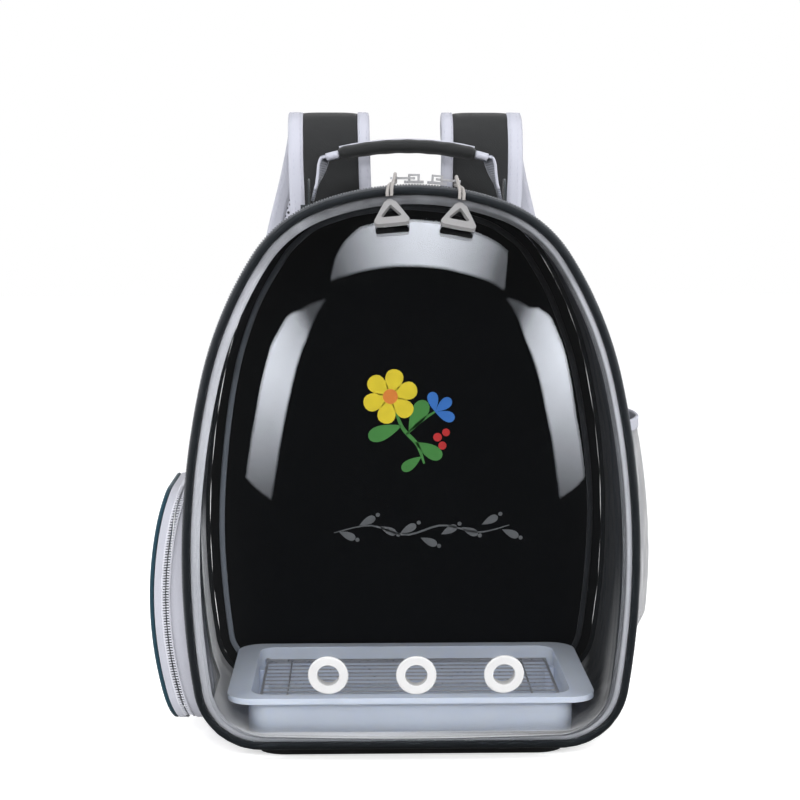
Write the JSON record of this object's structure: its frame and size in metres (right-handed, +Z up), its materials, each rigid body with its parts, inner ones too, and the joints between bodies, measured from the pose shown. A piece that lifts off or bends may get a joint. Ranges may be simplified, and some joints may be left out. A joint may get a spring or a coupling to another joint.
{
  "type": "bird travel carrier",
  "caption": "Backpack carrier with a clear domed front door, zipped side hatch, mesh pocket, lift-out tray with wire grid, top handle and padded shoulder straps",
  "frame": {"origin": "middle of the base plate's underside", "axes": "+Z up, -Y out of the domed front, +X to the right seen from the front"},
  "size_m": [0.3877, 0.3682, 0.4859],
  "materials": {
    "clear_dome": "clear polished sheet",
    "vent_white": "satin moulded",
    "piping_charcoal": "piped cord under cloth",
    "zip_grey": "woven zip tape",
    "zip_teeth": "moulded zip chain",
    "slider_metal": "cast zip slider",
    "pull_cord": "braided cord",
    "pull_rubber": "soft moulded",
    "shell_cloth": "charcoal woven cloth",
    "lining": "light grey lining",
    "panel_black": "smooth black cloth",
    "binding_grey": "bias tape",
    "base_black": "stiffened base",
    "mat_grey": "floor mat",
    "tray_plastic": "translucent pale blue",
    "wire_steel": "welded wire",
    "mesh_grey": "open mesh",
    "webbing": "ribbed webbing",
    "strap_cloth": "diagonal weave",
    "strap_binding": "stitched binding",
    "pad_mesh": "spacer mesh",
    "buckle": "moulded"
  },
  "bodies": {
    "rear_shell": {"side_wall": "shell_cloth", "wall_lining": "lining", "back_panel": "panel_black", "back_binding": "binding_grey", "rear_piping": "piping_charcoal", "rear_zip_tape": "zip_grey", "rear_zip_chain": "zip_teeth", "hinge_strip": "shell_cloth", "base_plate": "base_black", "floor_pad": "mat_grey", "hatch_frame_tape": "zip_grey", "hatch_frame_chain": "zip_teeth", "hatch_hinge": "shell_cloth", "mesh_pocket": "mesh_grey", "pocket_hem": "strap_binding", "handle_anchors": "webbing", "back_pad_left": "pad_mesh", "back_pad_right": "pad_mesh", "strap_left": "strap_cloth", "strap_right": "strap_cloth", "bindings_left": "strap_binding", "bindings_right": "strap_binding", "strap_yoke": "shell_cloth", "ladder_lock_left": "buckle", "ladder_lock_right": "buckle", "webbing_left": "webbing", "webbing_right": "webbing", "corner_tab_left": "shell_cloth", "corner_tab_right": "shell_cloth"},
    "front_door": {"dome_shell": "clear_dome", "vent_left": "vent_white", "vent_middle": "vent_white", "vent_right": "vent_white", "front_piping": "piping_charcoal", "door_zip_tape": "zip_grey", "door_zip_chain": "zip_teeth"},
    "left_slider": {"slider_left": "slider_metal"},
    "right_slider": {"slider_right": "slider_metal"},
    "left_tab": {"tab_left": "slider_metal", "cord_left": "pull_cord"},
    "right_tab": {"tab_right": "slider_metal", "cord_right": "pull_cord"},
    "left_pull": {"pull_left": "pull_rubber"},
    "right_pull": {"pull_right": "pull_rubber"},
    "handle": {"handle_webbing": "webbing", "handle_grip": "strap_cloth", "handle_patches": "strap_binding"},
    "tray": {"tray": "tray_plastic"},
    "grid": {"tray_grid": "wire_steel"},
    "side_hatch": {"hatch_panel": "shell_cloth", "hatch_piping": "piping_charcoal", "hatch_door_tape": "zip_grey", "hatch_door_chain": "zip_teeth"},
    "side_slider": {"hatch_slider": "slider_metal"}
  },
  "joints": [
    {"name": "door_hinge", "type": "hinge", "parent": "rear_shell", "child": "front_door", "pos_m": [0, -0.07925, 0.0102], "axis": [1, 0, 0], "range_deg": [0, 90]},
    {"name": "slider_left_travel", "type": "hinge", "parent": "front_door", "child": "left_slider", "pos_m": [0, -0.07925, 0.229], "axis": [0, 1, 0], "range_deg": [-16, 0]},
    {"name": "slider_right_travel", "type": "hinge", "parent": "front_door", "child": "right_slider", "pos_m": [0, -0.07925, 0.229], "axis": [0, 1, 0], "range_deg": [0, 12]},
    {"name": "tab_left_flip", "type": "hinge", "parent": "left_slider", "child": "left_tab", "pos_m": [0.0014, -0.07925, 0.43029], "axis": [0, 1, 0], "range_deg": [0, 60]},
    {"name": "tab_right_flip", "type": "hinge", "parent": "right_slider", "child": "right_tab", "pos_m": [0.01824, -0.07925, 0.42947], "axis": [0, -1, 0], "range_deg": [0, 60]},
    {"name": "pull_left_lift", "type": "hinge", "parent": "left_tab", "child": "left_pull", "pos_m": [-0.01647, -0.09535, 0.41588], "axis": [-0.9961, 0, -0.0878], "range_deg": [0, 90]},
    {"name": "pull_right_lift", "type": "hinge", "parent": "right_tab", "child": "right_pull", "pos_m": [0.03462, -0.09535, 0.41338], "axis": [-0.9828, 0, 0.1846], "range_deg": [0, 90]},
    {"name": "handle_fold", "type": "hinge", "parent": "rear_shell", "child": "handle", "pos_m": [0, 0.05725, 0.42179], "axis": [1, 0, 0], "range_deg": [0, 60], "stiffness_Nm_per_rad": 0.06},
    {"name": "tray_lift", "type": "slide", "parent": "rear_shell", "child": "tray", "axis": [0, 0, 1], "range_m": [0, 0.05]},
    {"name": "grid_lift", "type": "slide", "parent": "tray", "child": "grid", "axis": [0, 0, 1], "range_m": [0, 0.05]},
    {"name": "hatch_hinge", "type": "hinge", "parent": "rear_shell", "child": "side_hatch", "pos_m": [-0.16657, -0.00845, 0.0207], "axis": [0, -1, 0], "range_deg": [0, 75]},
    {"name": "hatch_slider_travel", "type": "hinge", "parent": "side_hatch", "child": "side_slider", "pos_m": [0.09154, 0.04955, 0.116], "axis": [0, 1, 0], "range_deg": [-16, 6]}
  ]
}
